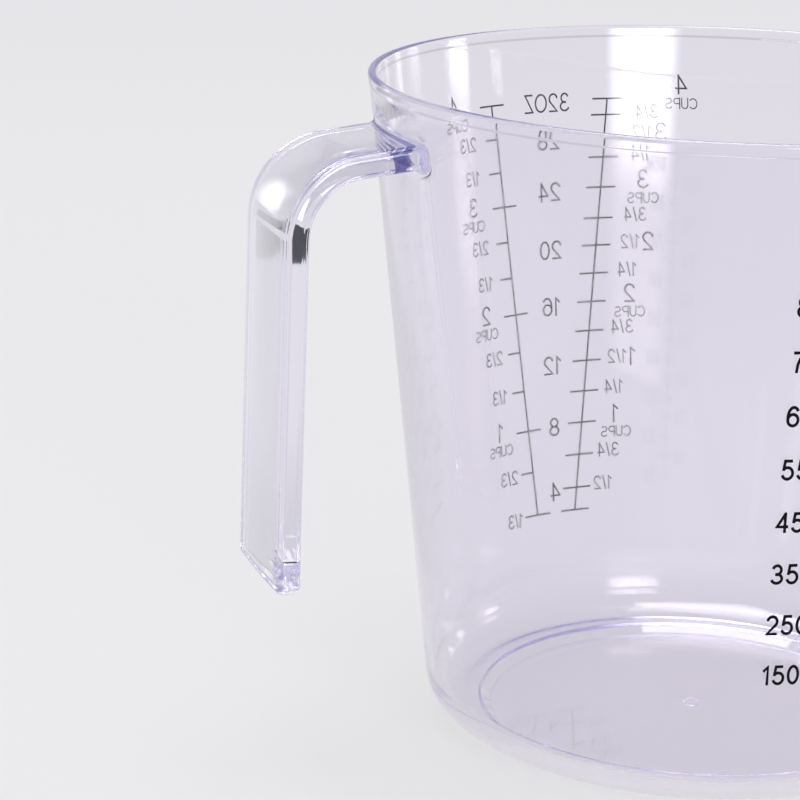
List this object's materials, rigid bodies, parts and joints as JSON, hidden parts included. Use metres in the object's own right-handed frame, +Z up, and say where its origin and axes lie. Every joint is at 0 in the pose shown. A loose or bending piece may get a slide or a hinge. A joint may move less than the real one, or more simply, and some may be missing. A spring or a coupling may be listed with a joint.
{
  "type": "measuring cup",
  "caption": "Clear tapered plastic measuring cup with a rim lip, a pouring spout, a strap handle that is open at its lower end, and printed cup, ounce and millilitre scales.",
  "frame": {"origin": "on the surface the cup stands on, under the middle of the whole outline, which is 7.6 mm from the cup's axis towards the handle", "axes": "+Z up along the cup's axis, +X towards the pouring spout, -X towards the handle"},
  "size_m": [0.1584, 0.1292, 0.1216],
  "materials": {
    "clear_plastic": "polished, clear with a faint lavender tint",
    "black_ink": "printed ink"
  },
  "bodies": {
    "root": {"cup_body": "clear_plastic", "handle": "clear_plastic", "cups_thirds_scale": "black_ink", "cups_quarters_scale": "black_ink", "millilitre_scale": "black_ink"}
  },
  "joints": []
}
